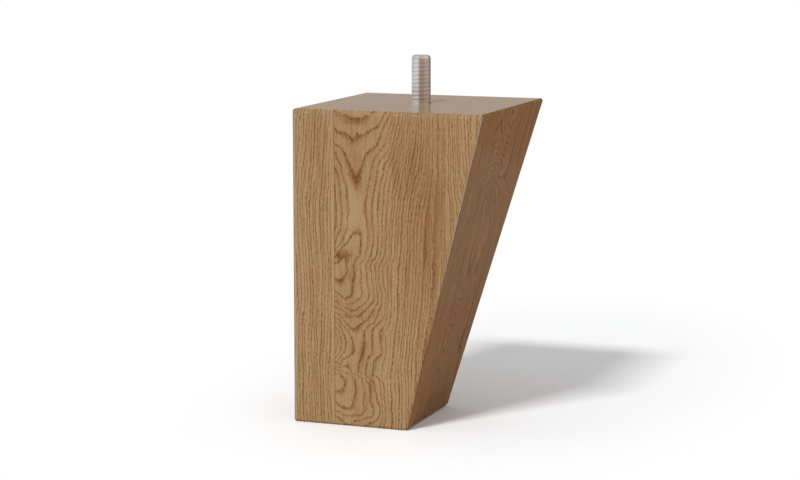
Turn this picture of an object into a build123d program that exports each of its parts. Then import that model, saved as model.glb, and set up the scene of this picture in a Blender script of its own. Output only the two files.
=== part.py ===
# Angled furniture leg: a square oak block that tapers on two sides, with a hanger bolt in its top.
#
# Frame: +Z is up. The origin is where the bolt's axis meets the top face.
# The front face looks towards -Y and the left face towards -X. Both are upright and meet in an
# upright arris. The right and back faces lean in towards the foot.

from build123d import *
import math
import os

os.makedirs("parts", exist_ok=True)

# Block: driving dimensions, in millimetres
leg_height = 130.0
top_side = 82.0
foot_side = 50.0
arris_radius = 1.2
end_chamfer = 1.0

# Staves: the block is glued up from three, with two upright glue joints
left_stave_width = 18.5
front_stave_depth = 21.5

# Hanger bolt: a machine stud above the top face and a wood thread below it
stud_diameter = 8.0
stud_length = 20.0
stud_end_chamfer = 0.75
neck_step = 0.45
neck_length = 4.0
wood_thread_pitch = 3.6
wood_thread_turns = 5
wood_thread_height = 1.2
wood_thread_angle = 60.0
wood_thread_runout = 1.0
point_length = 6.0

# Hole in the top of the block for the bolt
mouth_clearance = 0.25
pilot_clearance = 0.1
drill_run_past_tip = 2.0

# Where those sizes put things
corner = -top_side / 2
lean = math.atan2(top_side - foot_side, leg_height)
stud_radius = stud_diameter / 2
neck_radius = stud_radius - neck_step
root_radius = stud_radius - wood_thread_height
thread_top = -neck_length - wood_thread_runout
thread_bottom = thread_top - wood_thread_pitch * wood_thread_turns
shank_bottom = thread_bottom - wood_thread_runout
bolt_tip = shank_bottom - point_length

# The hanger bolt without its wood thread, turned about the axis
with BuildPart() as bolt_blank:
    with BuildSketch(Plane.XZ):
        with BuildLine():
            Polyline(
                (0, stud_length),
                (stud_radius - stud_end_chamfer, stud_length),
                (stud_radius, stud_length - stud_end_chamfer),
                (stud_radius, 0),
                (neck_radius, 0),
                (neck_radius, -neck_length),
                (root_radius, -neck_length),
                (root_radius, shank_bottom),
                (0, bolt_tip),
                close=True,
            )
        make_face()
    revolve(axis=Axis.Z)

# The wood thread's sharp ridge, wound up the shank. Its foot is sunk in so that it joins the shank
ridge_sink = wood_thread_height / 4
ridge_foot_half = (wood_thread_height + ridge_sink) * math.tan(math.radians(wood_thread_angle / 2))
with BuildPart() as wood_thread:
    with BuildLine():
        thread_path = Helix(
            pitch=wood_thread_pitch,
            height=thread_top - thread_bottom,
            radius=root_radius,
            center=(0, 0, thread_bottom),
        )
    with BuildSketch(Plane(origin=thread_path @ 0, x_dir=(1, 0, 0), z_dir=thread_path % 0)):
        Polygon(
            (-ridge_sink, -ridge_foot_half),
            (wood_thread_height, 0),
            (-ridge_sink, ridge_foot_half),
            align=None,
        )
    sweep(path=thread_path, is_frenet=True)

with BuildPart() as hanger_bolt:
    add(bolt_blank.part)
    add(wood_thread.part)

# The glued block: a square column, sawn to a lean on its right and back, with its ends chamfered
# and its long arrises rounded. The hole has a wide mouth round the neck, a pilot round the shank,
# and the print that the wood thread cuts in its wall
right_lean = Plane(
    origin=(corner + top_side, 0, 0), z_dir=(math.cos(lean), 0, -math.sin(lean))
)
back_lean = Plane(
    origin=(0, corner + top_side, 0), z_dir=(0, math.cos(lean), -math.sin(lean))
)
with BuildPart() as bored_block:
    with BuildSketch(Plane(origin=(corner, corner, 0))):
        Rectangle(top_side, top_side, align=Align.MIN)
    extrude(amount=-leg_height)
    split(bisect_by=right_lean, keep=Keep.BOTTOM)
    split(bisect_by=back_lean, keep=Keep.BOTTOM)
    chamfer(bored_block.faces().filter_by(Axis.Z).edges(), length=end_chamfer)
    long_arrises = bored_block.edges().sort_by(SortBy.LENGTH)[-4:]
    fillet(long_arrises, radius=arris_radius)
    with Locations((0, 0, 0)):
        CounterBoreHole(
            radius=root_radius + pilot_clearance,
            counter_bore_radius=stud_radius + mouth_clearance,
            counter_bore_depth=neck_length,
            depth=drill_run_past_tip - bolt_tip,
        )
    add(wood_thread.part, mode=Mode.SUBTRACT)

# The three staves, parted at the glue joints. The left one is as deep as the block
left_joint = Plane(origin=(corner + left_stave_width, 0, 0), z_dir=(1, 0, 0))
front_joint = Plane(origin=(0, corner + front_stave_depth, 0), z_dir=(0, 1, 0))

with BuildPart() as left_stave:
    add(bored_block.part)
    split(bisect_by=left_joint, keep=Keep.BOTTOM)

with BuildPart() as front_stave:
    add(bored_block.part)
    split(bisect_by=left_joint, keep=Keep.TOP)
    split(bisect_by=front_joint, keep=Keep.BOTTOM)

with BuildPart() as core_stave:
    add(bored_block.part)
    split(bisect_by=left_joint, keep=Keep.TOP)
    split(bisect_by=front_joint, keep=Keep.TOP)

left_stave.part.label = "left_stave"
front_stave.part.label = "front_stave"
core_stave.part.label = "core_stave"
hanger_bolt.part.label = "hanger_bolt"
export_step(left_stave.part, "parts/left_stave.step")
export_step(front_stave.part, "parts/front_stave.step")
export_step(core_stave.part, "parts/core_stave.step")
export_step(hanger_bolt.part, "parts/hanger_bolt.step")
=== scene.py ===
"""An angled oak furniture leg: the finish of its staves, its threaded hanger bolt and its stage."""

import math
from functools import partial

import bpy
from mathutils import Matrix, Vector


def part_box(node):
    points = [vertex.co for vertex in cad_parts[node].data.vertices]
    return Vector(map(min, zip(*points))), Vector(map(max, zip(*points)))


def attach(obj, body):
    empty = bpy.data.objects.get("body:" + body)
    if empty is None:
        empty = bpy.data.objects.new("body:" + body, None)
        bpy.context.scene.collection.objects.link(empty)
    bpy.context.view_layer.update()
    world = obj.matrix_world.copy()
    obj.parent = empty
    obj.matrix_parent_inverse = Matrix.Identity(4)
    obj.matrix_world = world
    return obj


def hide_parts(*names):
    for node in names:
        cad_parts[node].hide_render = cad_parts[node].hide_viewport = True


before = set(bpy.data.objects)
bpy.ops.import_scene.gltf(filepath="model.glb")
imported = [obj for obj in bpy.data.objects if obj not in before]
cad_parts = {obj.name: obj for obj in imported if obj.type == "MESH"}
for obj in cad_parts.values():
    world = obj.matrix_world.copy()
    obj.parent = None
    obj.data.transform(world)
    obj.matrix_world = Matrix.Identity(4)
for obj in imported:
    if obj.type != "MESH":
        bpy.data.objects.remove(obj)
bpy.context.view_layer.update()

bl_info = {
    "name": "Angled Oak Leg",
    "version": (1, 0, 0),
    "blender": (4, 5, 0),
    "location": "3D View > Sidebar > Oak Leg",
    "description": "Finishes, threaded bolt and stage of an angled oak furniture leg",
    "category": "Object",
}

MM = 0.001

# How many flats a turned or wound surface has, and how near two points are to be one
ROUND_STEPS = 64
MERGE = 0.001 * MM

# The block's corner at the foot, its height and its glue joints, as the frame has them
FOOT_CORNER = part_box("left_stave")[0]
LEG_HEIGHT = -FOOT_CORNER.z
LEFT_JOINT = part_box("left_stave")[1].x - FOOT_CORNER.x
FRONT_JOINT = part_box("front_stave")[1].y - FOOT_CORNER.y

# Stands for the joint on a face that has none, 9 mm off the block
NO_JOINT = -9 * MM

# How far from the bolt's axis the cards that only mirrors see stand
CARD_DISTANCE = 0.45


def linear(hex_colour):
    """An sRGB hex value as linear red, green, blue and alpha."""
    parts = [int(hex_colour[i : i + 2], 16) / 255 for i in (1, 3, 5)]
    return [p / 12.92 if p <= 0.04045 else ((p + 0.055) / 1.055) ** 2.4 for p in parts] + [1.0]


def add_node(tree, kind, inputs=(), out=0, **settings):
    """Adds a node with its settings, feeds its inputs by number or name, and gives one output. A Mix
    node takes its factor at 0, numbers at 2 and 3, vectors at 4 and 5, and colours at 6 and 7, and
    gives a vector at 1 and a colour at 2."""
    node = tree.nodes.new(kind)
    for name, value in settings.items():
        setattr(node, name, value)
    pairs = inputs.items() if isinstance(inputs, dict) else enumerate(inputs)
    for key, value in pairs:
        if isinstance(value, bpy.types.NodeSocket):
            tree.links.new(value, node.inputs[key])
        elif value is not None:
            node.inputs[key].default_value = value
    return node.outputs[out] if node.outputs else node


def new_material(name):
    """An empty node material, and the way to add nodes to it."""
    material = bpy.data.materials.new(name)
    material.use_nodes = True
    material.node_tree.nodes.clear()
    return material, partial(add_node, material.node_tree)


class OakFinish(bpy.types.PropertyGroup):
    pale: bpy.props.FloatVectorProperty(
        name="Late wood", description="The smooth wood between two growth lines",
        subtype="COLOR", size=4, min=0, max=1, default=linear("#A28763"))
    middle: bpy.props.FloatVectorProperty(
        name="Middle wood", description="The wood beside a growth line",
        subtype="COLOR", size=4, min=0, max=1, default=linear("#8F6C48"))
    dark: bpy.props.FloatVectorProperty(
        name="Growth line", description="The open pores where a year's growth starts",
        subtype="COLOR", size=4, min=0, max=1, default=linear("#6C4127"))
    ring_spacing: bpy.props.FloatProperty(
        name="Ring spacing", description="From one growth line to the next, across the grain",
        subtype="DISTANCE", min=0.2 * MM, default=1.4 * MM)
    pore_length: bpy.props.FloatProperty(
        name="Pore length", description="How long a pore shows along the grain",
        subtype="DISTANCE", min=0.2 * MM, default=1.5 * MM)
    pore_width: bpy.props.FloatProperty(
        name="Pore width", description="How wide a pore shows across the grain",
        subtype="DISTANCE", min=0.05 * MM, default=0.35 * MM)
    gloss: bpy.props.FloatProperty(
        name="Lacquer gloss",
        description="How much of its surroundings the lacquer on the ends mirrors",
        subtype="FACTOR", min=0, max=1, default=1.0)
    roughness: bpy.props.FloatProperty(
        name="Lacquer roughness", description="How much the satin lacquer blurs what it mirrors",
        subtype="FACTOR", min=0, max=1, default=0.14)


class BoltSizes(bpy.types.PropertyGroup):
    pitch: bpy.props.FloatProperty(
        name="Thread pitch", description="From one crest of the machine thread to the next",
        subtype="DISTANCE", min=0.5 * MM, default=1.7 * MM)
    depth: bpy.props.FloatProperty(
        name="Thread depth", description="From the crest of the machine thread to its root",
        subtype="DISTANCE", min=0.05 * MM, default=0.06 * MM)
    chamfer: bpy.props.FloatProperty(
        name="End chamfer", description="How far the stud's end is turned down",
        subtype="DISTANCE", min=0, default=0.75 * MM)
    wood_pitch: bpy.props.FloatProperty(
        name="Wood thread pitch", description="From one crest of the wood thread to the next",
        subtype="DISTANCE", min=0.5 * MM, default=3.6 * MM)
    wood_turns: bpy.props.IntProperty(
        name="Wood thread turns", description="How often the wood thread goes round",
        min=1, default=5)
    zinc: bpy.props.FloatVectorProperty(
        name="Zinc", description="Colour of the bright zinc plating",
        subtype="COLOR", size=4, min=0, max=1, default=linear("#E8ECF4"))


class StageSettings(bpy.types.PropertyGroup):
    camera_place: bpy.props.FloatVectorProperty(
        name="Camera place",
        description="Where the camera stands, from the bolt's middle in the top face",
        subtype="TRANSLATION", size=3, default=(0.31594, -0.86793, 0.0834))
    camera_turn: bpy.props.FloatProperty(
        name="Camera turn", description="How far the camera looks round from straight on",
        subtype="ANGLE", default=math.radians(20.548))
    camera_dip: bpy.props.FloatProperty(
        name="Camera dip", description="How far the camera looks down",
        subtype="ANGLE", default=math.radians(8.683))
    lens: bpy.props.FloatProperty(
        name="Lens", description="Focal length in millimetres, on a picture 36 mm wide",
        min=1, default=100)
    key_power: bpy.props.FloatProperty(
        name="Key power", description="Power of the key lamp, in watts",
        min=0, default=54.5)
    fill: bpy.props.FloatProperty(
        name="Fill", description="How much light the white surroundings give",
        subtype="FACTOR", min=0, max=1, default=0.555)
    floor_white: bpy.props.FloatVectorProperty(
        name="Floor", description="Colour of the white floor",
        subtype="COLOR", size=4, min=0, max=1, default=linear("#FDFEFF"))
    card: bpy.props.FloatVectorProperty(
        name="Tall card", description="Colour of the brown card that gives the stud its dark streak",
        subtype="COLOR", size=4, min=0, max=1, default=linear("#B39D8E"))
    low_card: bpy.props.FloatVectorProperty(
        name="Low card", description="Colour of the paler card to its right",
        subtype="COLOR", size=4, min=0, max=1, default=linear("#C6B6AA"))


# The growth figure of a face, as measures that drift up the leg: pairs of height and value, with
# heights in millimetres from the foot. The middle is where the arches peak, in millimetres from
# the face's front or left edge. The level counts growth lines on that middle, and the spread says
# how far they are pushed apart there. Past the reach, to the far side of the centre, the arches
# fade to straight lines, which are counted from the start and sway to one side. Each eye is a
# small swelling with rings about it: its place, half its width and height, and its growth lines
FRONT_FIGURE = {
    "middle": ((0, 25), (6, 24.5), (13, 21), (20, 20), (26, 25), (33, 28.6), (42, 27), (52, 25),
               (58, 21.5), (65, 20.5), (72, 25.5), (80, 28), (100, 28.4), (112, 27.8), (121, 26.8),
               (130, 26.8)),
    "level": ((0, 8.6), (5.3, 6.7), (9, 5.9), (19, 4.8), (24, 7), (31.5, 7.9), (36.6, 7.7), (41.7, 7),
              (49.3, 5), (54.9, 3), (61.3, 2), (64.5, 1.5), (68.5, 2), (79.5, 3), (90, 3.5),
              (97, 3.36), (102, 3.12), (106, 2.95), (110, 2.82), (113, 2.62), (116, 2.36),
              (119, 2.12), (121, 1.95), (124, 1.5), (126.5, 1.12), (130, 0.7)),
    "spread": ((0, 0.65), (20, 0.5), (30, 0.33), (39, 0.33), (46, 0.5), (56, 0.5), (66, 0.38),
               (76, 0.32), (90, 0.33), (100, 0.38), (106, 0.45), (110, 0.54), (116, 0.68),
               (120, 0.76), (130, 0.8)),
    "reach": ((0, 13), (25, 12), (42, 14), (60, 16), (90, 18), (112, 21), (130, 24)),
    "sway": ((0, -5), (23, -5), (45, -3.2), (68, -1.5), (90, -0.2), (100, 1.5), (110, 3.5),
             (120, 4.5), (130, 4.7)),
    "centre": 27.3,
    "start": 30,
    "eyes": ((15.6, 38.6, 6.5, 6.5, 1.0),),
}
RIGHT_FIGURE = {
    "middle": ((0, 23), (30, 24), (45, 27), (60, 33), (75, 36), (95, 31), (112, 27), (130, 26)),
    "level": ((0, 0.6), (20, 2), (40, 5), (52, 8.5), (62, 10), (72, 9.4), (88, 9.6), (104, 12),
              (112, 16), (119, 18.5), (130, 19.5)),
    "spread": ((0, 0.1), (25, 0.1), (45, 0.4), (65, 0.6), (80, 0.3), (100, 0.3), (115, 0.6),
               (130, 0.5)),
    "reach": ((0, 16), (60, 18), (130, 18)),
    "sway": ((0, 0), (40, 3), (80, 1), (130, 4)),
    "centre": 32,
    "start": 32,
    "eyes": ((42, 66, 5, 13, 1.8),),
}
LEFT_FIGURE = {
    "middle": ((0, 44), (20, 47), (45, 42), (70, 38), (95, 43), (130, 40)),
    "level": ((0, 0.3), (12, 1.6), (24, 4), (36, 5.2), (50, 5.8), (68, 7.6), (80, 9), (92, 9.3),
              (105, 10.4), (118, 14), (130, 15.5)),
    "spread": ((0, 0.6), (20, 0.3), (45, 0.55), (70, 0.4), (92, 0.65), (110, 0.3), (130, 0.6)),
    "reach": ((0, 22), (50, 18), (90, 19), (130, 16)),
    "sway": ((0, 2), (45, 0), (85, 3), (130, 1)),
    "centre": 43,
    "start": 43,
    "eyes": ((50, 92, 4, 9, 1.2),),
}
BACK_FIGURE = {
    "middle": ((0, 28), (25, 33), (50, 36), (70, 42), (95, 46), (130, 45)),
    "level": ((0, 16), (12, 13.2), (26, 12), (38, 9), (52, 7.4), (66, 7), (84, 5.2), (98, 3),
              (112, 2.2), (130, 0.5)),
    "spread": ((0, 0.5), (25, 0.6), (50, 0.3), (72, 0.6), (95, 0.35), (115, 0.6), (130, 0.4)),
    "reach": ((0, 15), (60, 20), (130, 18)),
    "sway": ((0, 3), (50, 1), (95, 4), (130, 2)),
    "centre": 40,
    "start": 40,
    "eyes": ((33, 60, 4.5, 10, -1.4),),
}
STRAIGHT_FIGURE = {
    "sway": ((0, 1.5), (25, 0.6), (55, 1.8), (88, 1), (112, 2.6), (130, 3.4)),
    "centre": 20,
    "start": 18,
}

# The figure of each stave's front or back, and of its left or right face
FIGURES = {
    "left_stave": (STRAIGHT_FIGURE, LEFT_FIGURE),
    "front_stave": (FRONT_FIGURE, STRAIGHT_FIGURE),
    "core_stave": (BACK_FIGURE, RIGHT_FIGURE),
}

# How the lines of a stave wander: how wide and how long each bend is, how fine its detail, and how
# far it goes, all in millimetres but the detail
WANDERS = {
    "left_stave": ((14, 30, 1.0, 3.0), (3, 8, 1.0, 1.6), (0.5, 2.4, 2.0, 0.35)),
    "front_stave": ((14, 24, 1.0, 2.4), (3, 6, 1.0, 1.4), (0.5, 2.2, 2.0, 0.3)),
    "core_stave": ((14, 30, 1.0, 2.4), (3, 8, 1.0, 1.1), (0.5, 2.4, 2.0, 0.3)),
}

# Darker and paler patches of a face: the face (0 is front or back, 1 is left or right), how far
# across, how high, half its width and height, in millimetres, and how much darker
PATCHES = {
    "left_stave": (
        (0, 11, 112, 5, 22, 0.07), (0, 5, 60, 3, 40, -0.06), (0, 17.4, 65, 0.3, 200, -0.25),
        (0, 15.7, 60, 0.3, 60, -0.15), (1, 30, 50, 9, 35, 0.15), (1, 66, 90, 8, 30, 0.1)),
    "front_stave": (
        (0, 24.5, 112, 13, 20, 0.1), (0, 28, 47, 7, 5, 0.125), (0, 51, 62, 4, 18, 0.07),
        (0, 59, 72, 6, 20, 0.1), (1, 12, 118, 12, 14, -0.05), (0, 50, 112, 8, 22, 0.125),
        (0, 60, 92, 8, 20, 0.15), (0, 27.5, 88, 2.6, 9, -0.25), (0, 44, 26, 8, 26, -0.07),
        (0, 20.4, 70.5, 1.0, 1.3, 0.8), (0, 22, 71.5, 3.5, 2, 0.25), (0, 27, 125.5, 5, 1.2, 0.35),
        (0, 28.2, 101.5, 0.6, 3.5, 0.25), (0, 30.6, 31, 1.4, 4.5, 0.3), (0, 34.6, 18, 1, 5, 0.25),
        (0, 26, 62, 1.3, 3, 0.25)),
    "core_stave": (
        (1, 40, 118, 25, 14, -0.05), (1, 42, 60, 22, 20, 0.06), (1, 26, 82, 2.4, 18, -0.11),
        (1, 42, 76, 4, 12, -0.1), (1, 50, 50, 6, 12, 0.1), (0, 50, 80, 9, 30, 0.15)),
}

# Where each stave's pith would lie, which the rings on its ends go round, in millimetres from the
# block's corner
PITHS = {"left_stave": (-34, 30), "front_stave": (27, -26), "core_stave": (104, 18)}


def swelling(add, place, across, height, half_width, half_height):
    """One at a spot of a face, and falling softly to nothing round it."""
    off = add("ShaderNodeVectorMath", (place, (across, 0, height)), operation="SUBTRACT")
    to_edge = (1 / half_width, 0, 1 / half_height)
    off = add("ShaderNodeVectorMath", (off, to_edge), operation="MULTIPLY")
    square = add("ShaderNodeVectorMath", (off, off), out="Value", operation="DOT_PRODUCT")
    falling = add("ShaderNodeMath", (square, -1.0), operation="MULTIPLY")
    return add("ShaderNodeMath", (falling,), operation="EXPONENT")


def growth_lines(add, place, across, height, figure, spacing):
    """Counts growth lines over a face, in arches about a middle and straight beyond them. Gives the
    count, and how much thinner than a share of their spacing the lines are."""
    # Each measure's drift is drawn as a curve, between minus and plus a top value of its own
    drift = {}
    for measure, top in (("sway", 20), ("middle", 80), ("level", 20), ("spread", 1), ("reach", 30)):
        if measure not in figure:
            continue
        curve = add("ShaderNodeFloatCurve", {"Value": height})
        points = curve.node.mapping.curves[0].points
        pairs = [(up * MM / LEG_HEIGHT, (value + top) / (2 * top)) for up, value in figure[measure]]
        points[0].location, points[1].location = pairs[0], pairs[-1]
        for pair in pairs[1:-1]:
            points.new(*pair)
        for point in points:
            point.handle_type = "AUTO_CLAMPED"
        curve.node.mapping.update()
        drift[measure] = add("ShaderNodeMath", (curve, 2 * top, -top), operation="MULTIPLY_ADD")

    # Straight lines. Their sway turns over near the far edge, 30 to 45 mm past the centre
    swing = add("ShaderNodeMapRange", {
        "Value": across, "From Min": figure["centre"] + 30, "From Max": figure["centre"] + 45,
        "To Min": 1.0, "To Max": -0.8})
    sway = add("ShaderNodeMath", (drift["sway"], swing), operation="MULTIPLY")
    straight = add("ShaderNodeMath", (across, sway), operation="SUBTRACT")
    straight = add("ShaderNodeMath", (straight, figure["start"]), operation="SUBTRACT")
    straight = add("ShaderNodeMath", (straight, spacing), operation="DIVIDE")

    # Some years grow wider than others
    uneven = add("ShaderNodeTexNoise", {"W": straight, "Scale": 0.6, "Detail": 0.0},
                 noise_dimensions="1D")
    uneven = add("ShaderNodeMath", (uneven, 0.5), operation="SUBTRACT")
    straight = add("ShaderNodeMath", (uneven, 1.3, straight), operation="MULTIPLY_ADD")
    if "middle" not in figure:
        return straight, 1.0

    # Arches. Their peaks are round over a core, and the spread pushes them apart near the middle,
    # both in millimetres
    core, near = 2.5, 14.0
    off = add("ShaderNodeMath", (across, drift["middle"]), operation="SUBTRACT")
    off = add("ShaderNodeMath", (off,), operation="ABSOLUTE")
    pushed = add("ShaderNodeMath", (off, near, near / 2), operation="SMOOTH_MIN")
    pushed = add("ShaderNodeMath", (pushed, drift["spread"]), operation="MULTIPLY")
    off = add("ShaderNodeMath", (off, pushed), operation="SUBTRACT")
    off = add("ShaderNodeMath", (off, off, core * core), operation="MULTIPLY_ADD")
    off = add("ShaderNodeMath", (off,), operation="SQRT")
    off = add("ShaderNodeMath", (off, core), operation="SUBTRACT")
    arches = add("ShaderNodeMath", (off, 1 / spacing, drift["level"]), operation="MULTIPLY_ADD")
    for *spot_and_size, rings in figure["eyes"]:
        eye = swelling(add, place, *spot_and_size)
        arches = add("ShaderNodeMath", (eye, rings, arches), operation="MULTIPLY_ADD")

    # One near the centre, and falling to nothing past the reach
    far = add("ShaderNodeMath", (across, figure["centre"]), operation="SUBTRACT")
    far = add("ShaderNodeMath", (far, 0.0), operation="MAXIMUM")
    far = add("ShaderNodeMath", (far, drift["reach"]), operation="DIVIDE")
    far = add("ShaderNodeMath", (far, 4.0), operation="POWER")
    far = add("ShaderNodeMath", (far, -1.0), operation="MULTIPLY")
    arched = add("ShaderNodeMath", (far,), operation="EXPONENT")
    lines = add("ShaderNodeMix", {0: arched, 2: straight, 3: arches})
    thinned = add("ShaderNodeMath", (drift["spread"], arched), operation="MULTIPLY")
    return lines, add("ShaderNodeMath", (thinned, 0.5, 1.0), operation="MULTIPLY_ADD")


def end_rings(add, place, stave, spacing):
    """Counts the rings on a stave's ends, about its pith. They bend a little, and the saw cuts them
    a fifth further apart than on the sides."""
    to_pith = add("ShaderNodeVectorMath", (place, (*PITHS[stave], 0)), operation="SUBTRACT")
    to_pith = add("ShaderNodeVectorMath", (to_pith, (1, 1, 0)), operation="MULTIPLY")
    rings = add("ShaderNodeVectorMath", (to_pith,), out="Value", operation="LENGTH")
    spot = add("ShaderNodeVectorMath", (place, (0.06, 0.06, 0.06)), operation="MULTIPLY")
    bend = add("ShaderNodeTexNoise", {"Vector": spot, "Scale": 1.0, "Detail": 2.0})
    rings = add("ShaderNodeMath", (bend, 4.0, rings), operation="MULTIPLY_ADD")
    return add("ShaderNodeMath", (rings, spacing * 1.2), operation="DIVIDE")


def pore_crowd(add, counted, thinned):
    """How close the pores stand, from the count of growth lines. They crowd where a year's growth
    starts, and thin out through the year. Some years show more than others."""
    part_of_year = add("ShaderNodeMath", (counted,), operation="FRACT")
    part_of_year = add("ShaderNodeMath", (part_of_year, thinned), operation="MULTIPLY")
    crowd = add("ShaderNodeValToRGB", (part_of_year,))
    stops = crowd.node.color_ramp
    stops.elements[0].color = (0, 0, 0, 1)
    stops.elements[1].color = (0, 0, 0, 1)
    for position, grey in ((0.08, 0.66), (0.17, 0.8), (0.3, 0.42), (0.45, 0.1), (0.7, 0.0)):
        stops.elements.new(position).color = (grey, grey, grey, 1)
    year = add("ShaderNodeMath", (counted,), operation="FLOOR")
    year = add("ShaderNodeTexWhiteNoise", {"W": year}, noise_dimensions="1D")
    year = add("ShaderNodeMapRange", {"Value": year, "To Min": 0.75, "To Max": 1.15})
    return add("ShaderNodeMath", (crowd, year), operation="MULTIPLY")


def edge_highlights_and_joint_hair(add, place, normal, sideways, from_joint, hair):
    """Painted highlights, in millimetres: a pale glint on the upper part of the long arrises, on the
    whole of the front left one and on the lower edge of the top chamfer; and, as strong as hair says,
    a hair of paler wood beside the joint. The normal is given as the sizes of its three parts."""
    wide, deep, high = normal
    x, _, z = add("ShaderNodeSeparateXYZ", (place,)).node.outputs
    # A painted glint on the round arrises, on their upper part only
    squarest = add("ShaderNodeMath", (wide, deep), operation="MAXIMUM")
    round_arris = add("ShaderNodeMapRange", {
        "Value": squarest, "From Min": 0.72, "From Max": 0.84, "To Min": 0.6, "To Max": 0.0})
    upper = add("ShaderNodeMapRange", {"Value": z, "From Min": 35.0, "From Max": 80.0})
    round_arris = add("ShaderNodeMath", (round_arris, upper), operation="MULTIPLY")
    # A painted glint along the front left arris
    from_corner = add("ShaderNodeMath", (x, 1.1), operation="SUBTRACT")
    from_corner = add("ShaderNodeMath", (from_corner,), operation="ABSOLUTE")
    corner = add("ShaderNodeMapRange", {
        "Value": from_corner, "From Min": 0.1, "From Max": 0.55, "To Min": 0.3, "To Max": 0.0})
    # A painted glint on the lower edge of the top chamfer, which comes and goes along it
    from_top = add("ShaderNodeMath", (z, LEG_HEIGHT / MM - 1.25), operation="SUBTRACT")
    from_top = add("ShaderNodeMath", (from_top,), operation="ABSOLUTE")
    rim = add("ShaderNodeMapRange", {
        "Value": from_top, "From Min": 0.1, "From Max": 0.45, "To Min": 1.0, "To Max": 0.0})
    spot = add("ShaderNodeVectorMath", (place, (0.25, 0.25, 0)), operation="MULTIPLY")
    glint_breakup = add("ShaderNodeTexNoise", {"Vector": spot, "Scale": 1.0, "Detail": 1.0})
    glint_breakup = add("ShaderNodeMapRange", {
        "Value": glint_breakup, "From Min": 0.4, "From Max": 0.65, "To Max": 0.32})
    rim = add("ShaderNodeMath", (rim, glint_breakup), operation="MULTIPLY")
    beside_joint = add("ShaderNodeMath", (from_joint, 0.55), operation="SUBTRACT")
    beside_joint = add("ShaderNodeMath", (beside_joint,), operation="ABSOLUTE")
    beside_joint = add("ShaderNodeMapRange", {
        "Value": beside_joint, "From Min": 0.05, "From Max": 0.3, "To Min": hair, "To Max": 0.0})
    front_only = add("ShaderNodeMath", (1.0, sideways), operation="SUBTRACT")
    highlight_and_hair = add("ShaderNodeMath", (corner, rim), operation="MAXIMUM")
    highlight_and_hair = add("ShaderNodeMath", (highlight_and_hair, beside_joint), operation="MAXIMUM")
    highlight_and_hair = add("ShaderNodeMath", (highlight_and_hair, front_only), operation="MULTIPLY")
    highlight_and_hair = add("ShaderNodeMath", (highlight_and_hair, round_arris), operation="MAXIMUM")
    level_off = add("ShaderNodeMath", (high, 0.5), operation="LESS_THAN")
    return add("ShaderNodeMath", (highlight_and_hair, level_off), operation="MULTIPLY")


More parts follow.
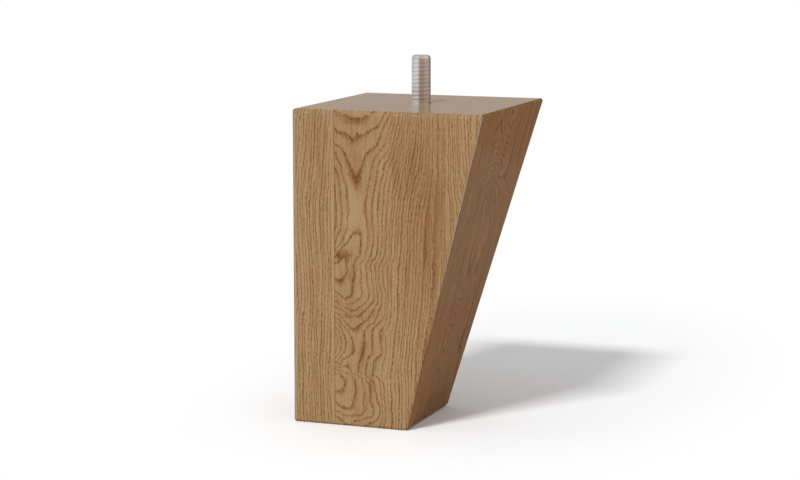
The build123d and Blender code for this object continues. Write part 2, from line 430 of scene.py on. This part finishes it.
def oak(stave, finish):
    """Oak, sawn, smoothed and satin lacquered. Golden brown wood with the brown lines of short open
    pores that oak has, in arches where the face is cut along the rings and straight elsewhere. Its
    arrises carry painted highlights, and its right face painted shade."""
    material, add = new_material("satin_lacquered_oak_" + stave)
    seed = 17.0 * (1 + sorted(FIGURES).index(stave))
    spacing = finish.ring_spacing / MM

    # Places in millimetres from the foot's front left corner, and which way the face looks
    coordinates = add("ShaderNodeTexCoord").node
    place = add("ShaderNodeVectorMath", (coordinates.outputs["Object"], FOOT_CORNER),
                operation="SUBTRACT")
    place = add("ShaderNodeVectorMath", {0: place, "Scale": 1 / MM}, operation="SCALE")
    x, y, z = add("ShaderNodeSeparateXYZ", (place,)).node.outputs
    facing = add("ShaderNodeSeparateXYZ", (coordinates.outputs["Normal"],)).node.outputs
    wide, deep, high = [add("ShaderNodeMath", (side,), operation="ABSOLUTE") for side in facing]
    wider = add("ShaderNodeMath", (wide, deep), operation="SUBTRACT")
    sideways = add("ShaderNodeMath", (wider, 0.05), operation="GREATER_THAN")
    rightwards = add("ShaderNodeMath", (facing[0], 0.75), operation="GREATER_THAN")
    on_end = add("ShaderNodeMath", (high, 0.8), operation="GREATER_THAN")
    across = add("ShaderNodeMix", {0: sideways, 2: x, 3: y})
    height = add("ShaderNodeMath", (z, MM / LEG_HEIGHT), operation="MULTIPLY")

    # Each face has a place of its own in the patterns below. The right and back ones lean in
    leaning = add("ShaderNodeMath", (facing[0], facing[1]), operation="ADD")
    leaning = add("ShaderNodeMath", (leaning, 0.0), operation="GREATER_THAN")
    depth = add("ShaderNodeMath", (sideways, 31.0, seed), operation="MULTIPLY_ADD")
    depth = add("ShaderNodeMath", (leaning, 57.0, depth), operation="MULTIPLY_ADD")
    grain_place = add("ShaderNodeCombineXYZ", (across, depth, z))

    # Growth lines wander slowly and quickly across the face
    bent = across
    for width, length, detail, much in WANDERS[stave]:
        stretched = (1 / width, 1, 1 / length)
        spot = add("ShaderNodeVectorMath", (grain_place, stretched), operation="MULTIPLY")
        wander = add("ShaderNodeTexNoise", {"Vector": spot, "Scale": 1.0, "Detail": detail})
        wander = add("ShaderNodeMath", (wander, 0.5), operation="SUBTRACT")
        bent = add("ShaderNodeMath", (wander, much, bent), operation="MULTIPLY_ADD")

    # The arches' heights drift by up to 3 mm, and are frayed by up to 0.75 mm
    spot = add("ShaderNodeVectorMath", (grain_place, (0.22, 1.3, 0.16)), operation="MULTIPLY")
    wander = add("ShaderNodeTexNoise", {"Vector": spot, "Scale": 1.0, "Detail": 2.0})
    wander = add("ShaderNodeMath", (wander, 0.5), operation="SUBTRACT")
    height = add("ShaderNodeMath", (wander, 6 * MM / LEG_HEIGHT, height), operation="MULTIPLY_ADD")
    spot = add("ShaderNodeVectorMath", (grain_place, (2.2, 1.7, 0.25)), operation="MULTIPLY")
    fringe = add("ShaderNodeTexNoise", {"Vector": spot, "Scale": 1.0, "Detail": 1.0})
    fringe = add("ShaderNodeMath", (fringe, 0.5), operation="SUBTRACT")
    height = add("ShaderNodeMath", (fringe, 1.5 * MM / LEG_HEIGHT, height), operation="MULTIPLY_ADD")

    front, side = [growth_lines(add, grain_place, bent, height, figure, spacing)
                   for figure in FIGURES[stave]]
    lines = add("ShaderNodeMix", {0: sideways, 2: front[0], 3: side[0]})
    thinned = add("ShaderNodeMix", {0: sideways, 2: front[1], 3: side[1]})

    rings = end_rings(add, place, stave, spacing)
    counted = add("ShaderNodeMix", {0: on_end, 2: lines, 3: rings})
    crowd = pore_crowd(add, counted, thinned)

    # Pores: short dark strokes along the grain on the sides, and dots on the ends. An oak's pores
    # are about 0.25 mm wide, which is too fine to show, so they are drawn as finish.pore_width
    slender = (MM / finish.pore_width, 1, MM / finish.pore_length)
    spot = add("ShaderNodeVectorMath", (grain_place, slender), operation="MULTIPLY")
    end_spot = add("ShaderNodeVectorMath", (place, (2.2, 2.2, 0)), operation="MULTIPLY")
    spot = add("ShaderNodeMix", {0: on_end, 4: spot, 5: end_spot}, out=1, data_type="VECTOR")
    strokes = add("ShaderNodeTexNoise", {
        "Vector": spot, "Scale": 1.0, "Detail": 2.0, "Roughness": 0.6})
    pores = add("ShaderNodeMapRange", {
        "Value": strokes, "From Min": 0.42, "From Max": 0.58}, interpolation_type="SMOOTHSTEP")

    # Fine fibres, and how strongly a stretch of growth line shows. Fibres are 0.02 mm wide, and
    # these are bundles of them, 0.6 mm wide on the front and 1.4 mm on the sides, that show
    fineness = add("ShaderNodeMix", {
        0: sideways, 4: (1.6, 1, 0.07), 5: (0.7, 1, 0.05)}, out=1, data_type="VECTOR")
    spot = add("ShaderNodeVectorMath", (grain_place, fineness), operation="MULTIPLY")
    fibres = add("ShaderNodeTexNoise", {
        "Vector": spot, "Scale": 1.0, "Detail": 4.0, "Roughness": 0.7})
    spot = add("ShaderNodeVectorMath", (grain_place, (0.3, 1, 0.04)), operation="MULTIPLY")
    stretch = add("ShaderNodeTexNoise", {"Vector": spot, "Scale": 1.0, "Detail": 2.0})
    strength = add("ShaderNodeMapRange", {
        "Value": stretch, "From Min": 0.3, "From Max": 0.65, "To Min": 0.5, "To Max": 1.15})

    # Paler and darker streaks, 2.5 mm wide and 40 mm long
    spot = add("ShaderNodeVectorMath", (grain_place, (0.4, 1, 0.025)), operation="MULTIPLY")
    mottle = add("ShaderNodeTexNoise", {
        "Vector": spot, "Scale": 1.0, "Detail": 3.0, "Roughness": 0.6})

    # How dark the wood is, from 0 for the palest to 1 for the inside of a pore
    filled = add("ShaderNodeMath", (pores, 0.8, 0.4), operation="MULTIPLY_ADD")
    dark = add("ShaderNodeMath", (crowd, filled), operation="MULTIPLY")
    dark = add("ShaderNodeMath", (dark, strength), operation="MULTIPLY")
    end_contrast = add("ShaderNodeMapRange", {"Value": on_end, "To Min": 1.0, "To Max": 0.85})
    dark = add("ShaderNodeMath", (dark, end_contrast), operation="MULTIPLY")
    dark = add("ShaderNodeMath", (pores, 0.12, dark), operation="MULTIPLY_ADD")
    fibre = add("ShaderNodeMath", (fibres, 0.5), operation="SUBTRACT")
    fibre_contrast = add("ShaderNodeMapRange", {"Value": rightwards, "To Min": 0.9, "To Max": 1.5})
    dark = add("ShaderNodeMath", (fibre, fibre_contrast, dark), operation="MULTIPLY_ADD")
    mottle = add("ShaderNodeMath", (mottle, 0.45), operation="SUBTRACT")
    dark = add("ShaderNodeMath", (mottle, 0.45, dark), operation="MULTIPLY_ADD")
    for face, *spot_and_size, much in PATCHES[stave]:
        patch = swelling(add, grain_place, *spot_and_size)
        there = add("ShaderNodeMath", (sideways, face, 0.1), operation="COMPARE")
        patch = add("ShaderNodeMath", (patch, there), operation="MULTIPLY")
        dark = add("ShaderNodeMath", (patch, much, dark), operation="MULTIPLY_ADD")

    # A hair of dark glue at the joint
    side_joint = NO_JOINT if stave == "left_stave" else FRONT_JOINT
    joint = add("ShaderNodeMix", {0: sideways, 2: LEFT_JOINT / MM, 3: side_joint / MM})
    from_joint = add("ShaderNodeMath", (across, joint), operation="SUBTRACT")
    from_joint = add("ShaderNodeMath", (from_joint,), operation="ABSOLUTE")
    glue = add("ShaderNodeMapRange", {
        "Value": from_joint, "From Min": 0.05, "From Max": 0.3, "To Min": 0.35, "To Max": 0.0})
    dark = add("ShaderNodeMath", (glue, dark), operation="ADD")

    # The ends are paler than the sides, and the left stave's end paler still, as painted sheen. The
    # right face, turned from the key, is painted darker and more brown, as shade
    end_tone_and_sheen = -0.24 if stave == "left_stave" else -0.12
    dark = add("ShaderNodeMath", (on_end, end_tone_and_sheen, dark), operation="MULTIPLY_ADD")
    dark = add("ShaderNodeMath", (rightwards, 0.215, dark), operation="MULTIPLY_ADD")

    colour = add("ShaderNodeValToRGB", (dark,))
    stops = colour.node.color_ramp
    stops.elements[0].color = finish.pale
    stops.elements[1].color = finish.dark
    stops.elements.new(0.3).color = finish.middle

    # Painted shade: the face turned to the right, away from the key, is mixed a share toward a dark
    # brown
    right_shade_tint = add("ShaderNodeMath", (rightwards, 0.3), operation="MULTIPLY")
    colour = add("ShaderNodeMix", {
        0: right_shade_tint, 6: colour, 7: linear("#774C36")}, out=2, data_type="RGBA")

    # Painted highlights: a pale grey mixed in along the arrises and the top chamfer's lower edge,
    # with the paler hair beside the left stave's joint
    hair = 0.2 if stave == "left_stave" else 0.0
    highlight_and_hair = edge_highlights_and_joint_hair(add, place, (wide, deep, high), sideways, from_joint, hair)
    colour = add("ShaderNodeMix", {
        0: highlight_and_hair, 6: colour, 7: linear("#B9AEA2")}, out=2, data_type="RGBA")

    # The lacquer sinks a little into the pores, and the ends get more coats of it
    sunk = add("ShaderNodeMath", (dark, -1.0), operation="MULTIPLY")
    relief = add("ShaderNodeBump", {"Height": sunk, "Strength": 0.25, "Distance": 0.05 * MM})
    side_gloss = 0.12 * finish.gloss
    gloss = add("ShaderNodeMapRange", {"Value": on_end, "To Min": side_gloss, "To Max": finish.gloss})
    shader = add("ShaderNodeBsdfPrincipled", {
        "Base Color": colour, "Roughness": 0.6, "Specular IOR Level": 0.0, "Normal": relief,
        "Coat Weight": gloss, "Coat Roughness": finish.roughness, "Coat IOR": 1.25})
    add("ShaderNodeOutputMaterial", (shader,))
    return material


class OAKLEG_OT_staves(bpy.types.Operator):
    """Give the three staves their oak figure, pores and satin lacquer"""

    bl_idname = "oakleg.staves"
    bl_label = "Finish the staves"

    def execute(self, context):
        for stave in FIGURES:
            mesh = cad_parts[stave].data
            mesh.materials.clear()
            mesh.materials.append(oak(stave, context.scene.oak_finish))
        return {"FINISHED"}


def zinc_plating(sizes):
    """Steel, rolled and bright zinc plated. A cool silver that mirrors softly, with a faint cloud in
    its gloss, and painted shade down in the roots of the thread, which makes them darker and warmer.
    The plating's own grain is too fine to show, and is drawn 0.3 mm wide."""
    material, add = new_material("bright_zinc_plated_steel")
    place = add("ShaderNodeTexCoord", out="Object")
    cloud = add("ShaderNodeTexNoise", {"Vector": place, "Scale": 0.35 / MM, "Detail": 3.0})
    roughness = add("ShaderNodeMapRange", {"Value": cloud, "To Min": 0.24, "To Max": 0.34})
    grains = add("ShaderNodeTexNoise", {"Vector": place, "Scale": 3 / MM, "Detail": 2.0})
    relief = add("ShaderNodeBump", {"Height": grains, "Strength": 0.05, "Distance": 0.02 * MM})
    tint = add("ShaderNodeMix", {
        0: cloud, 6: sizes.zinc[:], 7: linear("#DAD8D6")}, out=2, data_type="RGBA")
    # Painted shade: darker and warmer down in the roots of the thread, by the distance from the axis
    from_axis = add("ShaderNodeVectorMath", (place, (1, 1, 0)), operation="MULTIPLY")
    from_axis = add("ShaderNodeVectorMath", (from_axis,), out="Value", operation="LENGTH")
    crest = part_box("hanger_bolt")[1].x
    root = add("ShaderNodeMapRange", {
        "Value": from_axis, "From Min": crest - 0.9 * sizes.depth,
        "From Max": crest - 0.2 * sizes.depth, "To Min": 0.75, "To Max": 0.0})
    tint = add("ShaderNodeMix", {0: root, 6: tint, 7: linear("#BAB1AA")}, out=2, data_type="RGBA")
    shader = add("ShaderNodeBsdfPrincipled", {
        "Base Color": tint, "Metallic": 1.0, "Roughness": roughness, "Normal": relief})
    add("ShaderNodeOutputMaterial", (shader,))
    return material


def drawn(name, start, moves):
    """A line drawn from a start by moves, as a new object in edit mode. A small plane merged to one
    point is what gets extruded."""
    bpy.ops.object.select_all(action="DESELECT")
    bpy.ops.mesh.primitive_plane_add(size=1 * MM, location=start)
    bpy.context.object.name = name
    bpy.ops.object.mode_set(mode="EDIT")
    bpy.ops.mesh.merge(type="CENTER")
    for move in moves:
        bpy.ops.mesh.extrude_region_move(TRANSFORM_OT_translate={"value": move})
    bpy.ops.mesh.select_all(action="SELECT")
    return bpy.context.object


def turned(name, outline):
    """A solid turned about the bolt's axis, from its outline of radii and heights in metres."""
    solid = drawn(name, (0, 0, outline[0][1]), [
        (next_radius - radius, 0, next_height - height)
        for (radius, height), (next_radius, next_height) in zip(outline, outline[1:])])
    bpy.ops.mesh.spin(steps=ROUND_STEPS, angle=math.tau, center=(0, 0, 0), axis=(0, 0, 1))
    bpy.ops.mesh.select_all(action="SELECT")
    bpy.ops.mesh.remove_doubles(threshold=MERGE)
    bpy.ops.mesh.normals_make_consistent(inside=False)
    bpy.ops.object.mode_set(mode="OBJECT")
    bpy.ops.object.transform_apply(location=True, rotation=True, scale=True)
    return solid


def threaded(name, profile, low, high, pitch):
    """A round bar with a thread wound up it between two heights. The profile gives one pitch, as
    shares of the pitch and radii in metres."""
    bar = drawn(name, (profile[0][1], 0, low - 1.5 * pitch), [
        (next_radius - radius, 0, (next_share - share) * pitch)
        for (share, radius), (next_share, next_radius) in zip(profile, profile[1:])])
    bpy.ops.object.mode_set(mode="OBJECT")
    bpy.ops.object.transform_apply(location=True, rotation=True, scale=True)

    # The thread is wound past both ends, and cut there
    wind = bar.modifiers.new("wind", "SCREW")
    wind.axis = "Z"
    wind.screw_offset = pitch
    wind.iterations = math.ceil((high - low) / pitch) + 2
    wind.steps = wind.render_steps = ROUND_STEPS
    wind.use_merge_vertices = True
    wind.merge_threshold = MERGE
    bpy.ops.object.modifier_apply(modifier=wind.name)
    bpy.ops.object.mode_set(mode="EDIT")
    bpy.ops.mesh.select_all(action="SELECT")
    bpy.ops.mesh.remove_doubles(threshold=MERGE)
    for height, above in ((low, False), (high, True)):
        bpy.ops.mesh.select_all(action="SELECT")
        # The default threshold, 0.1 mm, would take points near the cut for points on it
        bpy.ops.mesh.bisect(
            plane_co=(0, 0, height), plane_no=(0, 0, 1), use_fill=True, clear_inner=not above,
            clear_outer=above, threshold=0.1 * MERGE)
    bpy.ops.mesh.select_all(action="SELECT")
    bpy.ops.mesh.normals_make_consistent(inside=False)
    bpy.ops.object.mode_set(mode="OBJECT")
    return bar


def combine(piece, other, operation):
    """Keeps what two solids share, or joins them into one."""
    bpy.ops.object.select_all(action="DESELECT")
    piece.select_set(True)
    bpy.context.view_layer.objects.active = piece
    step = piece.modifiers.new("combine", "BOOLEAN")
    step.object = other
    step.operation = operation
    step.solver = "EXACT"
    bpy.ops.object.modifier_apply(modifier=step.name)
    bpy.data.objects.remove(other)


class OAKLEG_OT_bolt(bpy.types.Operator):
    """Model the hanger bolt: a machine thread above the wood, and a wood thread below it"""

    bl_idname = "oakleg.bolt"
    bl_label = "Model the bolt"

    def execute(self, context):
        sizes = context.scene.bolt_sizes
        low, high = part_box("hanger_bolt")
        radius, top, tip = high.x, high.z, low.z

        # The stud's machine thread, with round crests and roots, cut down to its chamfered end.
        # The end is rounded over in shares of its chamfer
        root = radius - sizes.depth
        stud_low = -0.5 * MM
        profile = [(0, root), (0.12, root + 0.1 * sizes.depth), (0.28, root + 0.62 * sizes.depth),
                   (0.4, radius - 0.04 * MM), (0.5, radius), (0.6, radius - 0.04 * MM),
                   (0.72, root + 0.62 * sizes.depth), (0.88, root + 0.1 * sizes.depth), (1, root)]
        stud = threaded("hanger_bolt_threaded", profile, stud_low, top, sizes.pitch)
        blank = turned("stud_blank", [
            (0, stud_low), (radius * 1.1, stud_low), (radius * 1.1, top - 1.9 * sizes.chamfer),
            (radius - 0.12 * sizes.chamfer, top - 1.5 * sizes.chamfer),
            (radius - 0.55 * sizes.chamfer, top - 0.5 * sizes.chamfer),
            (radius - sizes.chamfer, top), (0, top)])
        combine(stud, blank, "INTERSECT")

        # The neck, the shank and its point, with the rim that the machine thread runs out in
        neck = radius - 0.45 * MM
        neck_low = -4 * MM
        shank = radius - 1.2 * MM
        shank_low = tip + 6 * MM
        stem = turned("stem", [
            (0, 0.35 * MM), (radius - 0.05 * MM, 0.35 * MM), (radius + 0.03 * MM, 0.18 * MM),
            (radius, 0), (neck, -0.1 * MM), (neck, neck_low), (shank, neck_low), (shank, shank_low),
            (0, tip)])
        combine(stud, stem, "UNION")

        # The wood thread's sharp ridge, whose own core is hidden in the shank. Half its foot is a
        # share of its pitch
        half = 0.24
        core = shank - 0.2 * MM
        ridge_low = shank_low + 1 * MM
        ridge = threaded("ridge", [
            (0, core), (0.5 - half, core), (0.5, radius - 0.02 * MM), (0.5 + half, core), (1, core)],
            ridge_low, ridge_low + sizes.wood_turns * sizes.wood_pitch, sizes.wood_pitch)
        combine(stud, ridge, "UNION")

        stud.data.materials.clear()
        stud.data.materials.append(zinc_plating(sizes))
        bpy.ops.object.select_all(action="DESELECT")
        stud.select_set(True)
        context.view_layer.objects.active = stud
        bpy.ops.object.mode_set(mode="EDIT")
        bpy.ops.mesh.select_all(action="SELECT")
        bpy.ops.mesh.remove_doubles(threshold=0.5 * MERGE)
        bpy.ops.mesh.fill_holes(sides=0)
        bpy.ops.object.mode_set(mode="OBJECT")
        bpy.ops.object.shade_smooth_by_angle(angle=math.radians(50))
        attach(stud, "root")
        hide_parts("hanger_bolt")
        return {"FINISHED"}


def floor_paper(stage):
    """Matt white paper. It takes the leg's shadow, and fades to plain white beyond it, as a swept
    studio backdrop does."""
    material, add = new_material("matt_white_paper")

    # The fade goes round a point behind the leg's foot, and is narrower from left to right
    place = add("ShaderNodeTexCoord", out="Object")
    place = add("ShaderNodeVectorMath", (place, (0.015, 0.06, FOOT_CORNER.z)), operation="SUBTRACT")
    place = add("ShaderNodeVectorMath", (place, (1.9, 1, 1)), operation="MULTIPLY")
    far = add("ShaderNodeVectorMath", (place,), out="Value", operation="LENGTH")
    fade = add("ShaderNodeMapRange", {
        "Value": far, "From Min": 0.13, "From Max": 0.25}, interpolation_type="SMOOTHSTEP")
    paper = add("ShaderNodeBsdfDiffuse", (stage.floor_white[:],))
    white = add("ShaderNodeEmission", (linear("#FFFFFF"), 1.0))
    mixed = add("ShaderNodeMixShader", (fade, paper, white))
    add("ShaderNodeOutputMaterial", (mixed,))
    return material


def studio_card(name, colour, start, sweep, height):
    """A card bent round the leg, on from one angle over a sweep, anticlockwise seen from above. Only
    what mirrors sees it."""
    material, add = new_material(name)
    glow = add("ShaderNodeEmission", (colour, 1.0))
    add("ShaderNodeOutputMaterial", (glow,))
    foot = (CARD_DISTANCE * math.cos(start), CARD_DISTANCE * math.sin(start), FOOT_CORNER.z)
    card = drawn(name, foot, [(0, 0, height)])
    bpy.ops.mesh.spin(steps=ROUND_STEPS // 2, angle=-sweep, center=(0, 0, 0), axis=(0, 0, 1))
    bpy.ops.object.mode_set(mode="OBJECT")
    card.visible_camera = card.visible_diffuse = card.visible_shadow = False
    card.data.materials.append(material)


class OAKLEG_OT_stage(bpy.types.Operator):
    """Set the camera, the lamp, the floor, the cards and the white surroundings"""

    bl_idname = "oakleg.stage"
    bl_label = "Set the stage"

    def execute(self, context):
        stage = context.scene.stage_settings
        scene = context.scene
        scene.view_settings.view_transform = "Standard"

        bpy.ops.object.camera_add(
            location=stage.camera_place,
            rotation=(math.pi / 2 - stage.camera_dip, 0, stage.camera_turn))
        camera = context.object
        camera.name = "camera"
        camera.data.lens = stage.lens
        camera.data.sensor_width = 36
        scene.camera = camera

        # A long soft box, 3 m off, high in front and a little to the left, throws the shadow to the
        # back right
        middle = Vector((0, 0, -LEG_HEIGHT / 2))
        towards = Vector((-0.134, -0.629, 0.766))
        bpy.ops.object.light_add(
            type="AREA", location=middle + towards * 3,
            rotation=towards.to_track_quat("Z", "Y").to_euler())
        key = context.object
        key.name = "soft_box"
        key.data.shape = "RECTANGLE"
        key.data.size = 0.58
        key.data.size_y = 0.31
        key.data.energy = stage.key_power
        key.visible_glossy = False

        bpy.ops.mesh.primitive_circle_add(vertices=64, radius=6, fill_type="NGON", location=(0, 0, 0))
        floor = context.object
        bpy.ops.object.mode_set(mode="EDIT")
        bpy.ops.transform.translate(value=(0, 0, FOOT_CORNER.z))
        bpy.ops.object.mode_set(mode="OBJECT")
        floor.name = "floor"
        floor.data.materials.append(floor_paper(stage))

        # Cards round the leg give the metal its streaks: from the left a pale one, then a gap that
        # leaves a bright streak, the tall brown one, a paler one, and its dark end. The one behind
        # the leg is what its top mirrors. Each has a start and sweep in degrees, and a height
        for name, colour, start, sweep, height in (
                ("side_card", linear("#E8E6E6"), -232, 72, 0.42),
                ("tall_card", stage.card[:], -100, 66, 1.2),
                ("low_card", stage.low_card[:], -34, 79, 0.42),
                ("end_card", linear("#866E5E"), 45, 45, 0.42),
                ("back_card", linear("#B3ABA9"), 90, 38, 0.42)):
            studio_card(name, colour, math.radians(start), math.radians(sweep), height)

        # White surroundings: full white where they are seen or mirrored, and a softer fill as light
        world = bpy.data.worlds.new("white_surroundings")
        scene.world = world
        world.use_nodes = True
        world.node_tree.nodes.clear()
        add = partial(add_node, world.node_tree)
        rays = add("ShaderNodeLightPath").node.outputs
        seen = add("ShaderNodeMath", (rays["Is Camera Ray"], rays["Is Glossy Ray"]),
                   operation="MAXIMUM")
        seen = add("ShaderNodeMath", (seen, rays["Is Transmission Ray"]), operation="MAXIMUM")
        strength = add("ShaderNodeMapRange", {"Value": seen, "To Min": stage.fill, "To Max": 1.0})
        background = add("ShaderNodeBackground", (linear("#FFFFFF"), strength))
        add("ShaderNodeOutputWorld", (background,))
        return {"FINISHED"}


class OAKLEG_PT_panel(bpy.types.Panel):
    bl_idname = "OAKLEG_PT_panel"
    bl_label = "Oak leg"
    bl_space_type = "VIEW_3D"
    bl_region_type = "UI"
    bl_category = "Oak Leg"

    def draw(self, context):
        for operator in (OAKLEG_OT_staves, OAKLEG_OT_bolt, OAKLEG_OT_stage):
            self.layout.operator(operator.bl_idname)


CLASSES = (
    OakFinish, BoltSizes, StageSettings, OAKLEG_OT_staves, OAKLEG_OT_bolt, OAKLEG_OT_stage,
    OAKLEG_PT_panel)


def register():
    for one in CLASSES:
        bpy.utils.register_class(one)
    bpy.types.Scene.oak_finish = bpy.props.PointerProperty(type=OakFinish)
    bpy.types.Scene.bolt_sizes = bpy.props.PointerProperty(type=BoltSizes)
    bpy.types.Scene.stage_settings = bpy.props.PointerProperty(type=StageSettings)


def unregister():
    del bpy.types.Scene.oak_finish
    del bpy.types.Scene.bolt_sizes
    del bpy.types.Scene.stage_settings
    for one in reversed(CLASSES):
        bpy.utils.unregister_class(one)


def main():
    register()
    bpy.ops.oakleg.staves()
    bpy.ops.oakleg.bolt()
    bpy.ops.oakleg.stage()


if __name__ == "__main__":
    main()
